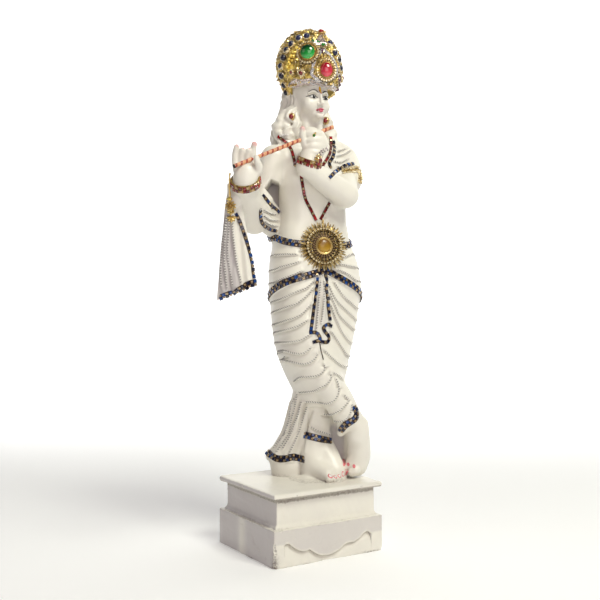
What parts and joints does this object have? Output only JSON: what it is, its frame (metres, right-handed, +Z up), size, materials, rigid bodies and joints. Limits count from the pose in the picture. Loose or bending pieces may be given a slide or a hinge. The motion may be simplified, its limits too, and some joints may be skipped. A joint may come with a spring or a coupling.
{
  "type": "statue",
  "caption": "Standing flute player with crossed legs and a gilt crown, cast with its moulded square plinth and dressed with stone-set borders.",
  "frame": {"origin": "centre of the plinth's underside; the figure's raised right arm and scarf end reach beyond the plinth on -X", "axes": "+Z up, the figure and the plinth's apron face -Y, and the figure's left is +X"},
  "size_m": [0.1992, 0.1316, 0.6097],
  "materials": {
    "marble": "satin cast marble dust",
    "gilt": "antique gilt filigree",
    "flute": "metallic orange",
    "blue_stones": "dark blue and pale gold paste stones",
    "red_stones": "red paste stones in gilt cups",
    "green_stone": "polished cabochon",
    "ruby_stone": "polished cabochon",
    "amber_stone": "polished cabochon"
  },
  "bodies": {
    "root": {"statue": "marble", "crown": "gilt", "crown_green_stone": "green_stone", "crown_red_stone": "ruby_stone", "flute": "flute", "earring_right": "red_stones", "earring_left": "red_stones", "necklace_right_strand": "red_stones", "necklace_left_strand": "red_stones", "pendant_right_strand": "red_stones", "pendant_left_strand": "red_stones", "pendant": "gilt", "pendant_stone": "amber_stone", "bracelet_right": "red_stones", "bracelet_left": "red_stones", "bracelet_clasp": "gilt", "armlet": "gilt", "scarf_drop": "gilt", "ring_stone": "green_stone", "belt": "blue_stones", "sash": "blue_stones", "pleat_border_right": "blue_stones", "pleat_border_left": "blue_stones", "pleat_curl": "blue_stones", "shin_hem": "blue_stones", "crossing_hem": "blue_stones", "fan_hem": "blue_stones", "scarf_side_border": "blue_stones", "scarf_end_border": "blue_stones", "scarf_upper_border": "blue_stones", "scarf_lower_border": "blue_stones", "shoulder_border": "blue_stones", "sleeve_border": "blue_stones"}
  },
  "joints": []
}
